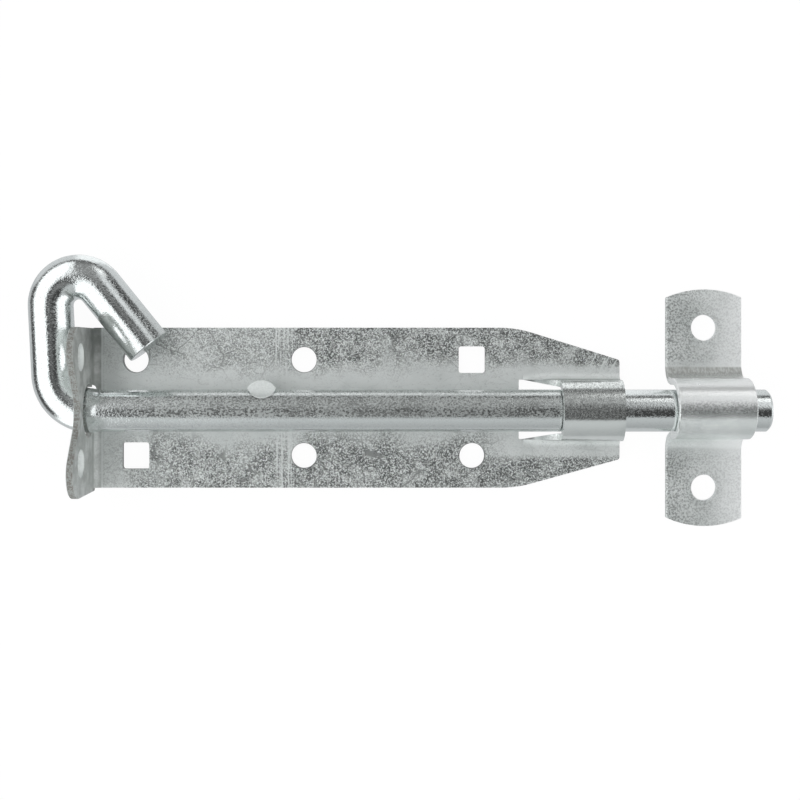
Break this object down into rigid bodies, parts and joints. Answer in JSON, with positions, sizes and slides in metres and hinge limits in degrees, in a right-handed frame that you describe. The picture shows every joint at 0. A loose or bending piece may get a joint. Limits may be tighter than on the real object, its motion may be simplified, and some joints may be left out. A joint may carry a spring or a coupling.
{
  "type": "padbolt",
  "caption": "Sheet-steel padbolt: long backplate with a padlock flange and guide loop, a round bar with a hooked handle, and a loose bent keeper.",
  "frame": {"origin": "back face of the backplate, at the centre of its fixing holes", "axes": "+X along the bar towards its nose and the keeper, +Y towards the side on which the handle rests, +Z away from the door"},
  "size_m": [0.272, 0.101, 0.0357],
  "materials": {
    "plate_zinc": "bright zinc plate with mottled grain",
    "bar_zinc": "bright zinc plate, drawn bar",
    "keeper_zinc": "satin zinc plate"
  },
  "bodies": {
    "mounting": {"backplate": "plate_zinc", "keeper": "keeper_zinc"},
    "bolt": {"bolt": "bar_zinc"}
  },
  "joints": [
    {"name": "bolt_turn", "type": "hinge", "parent": "mounting", "child": "bolt", "pos_m": [0, -0.0007, 0.01055], "axis": [1, 0, 0], "range_deg": [0, 180]}
  ]
}
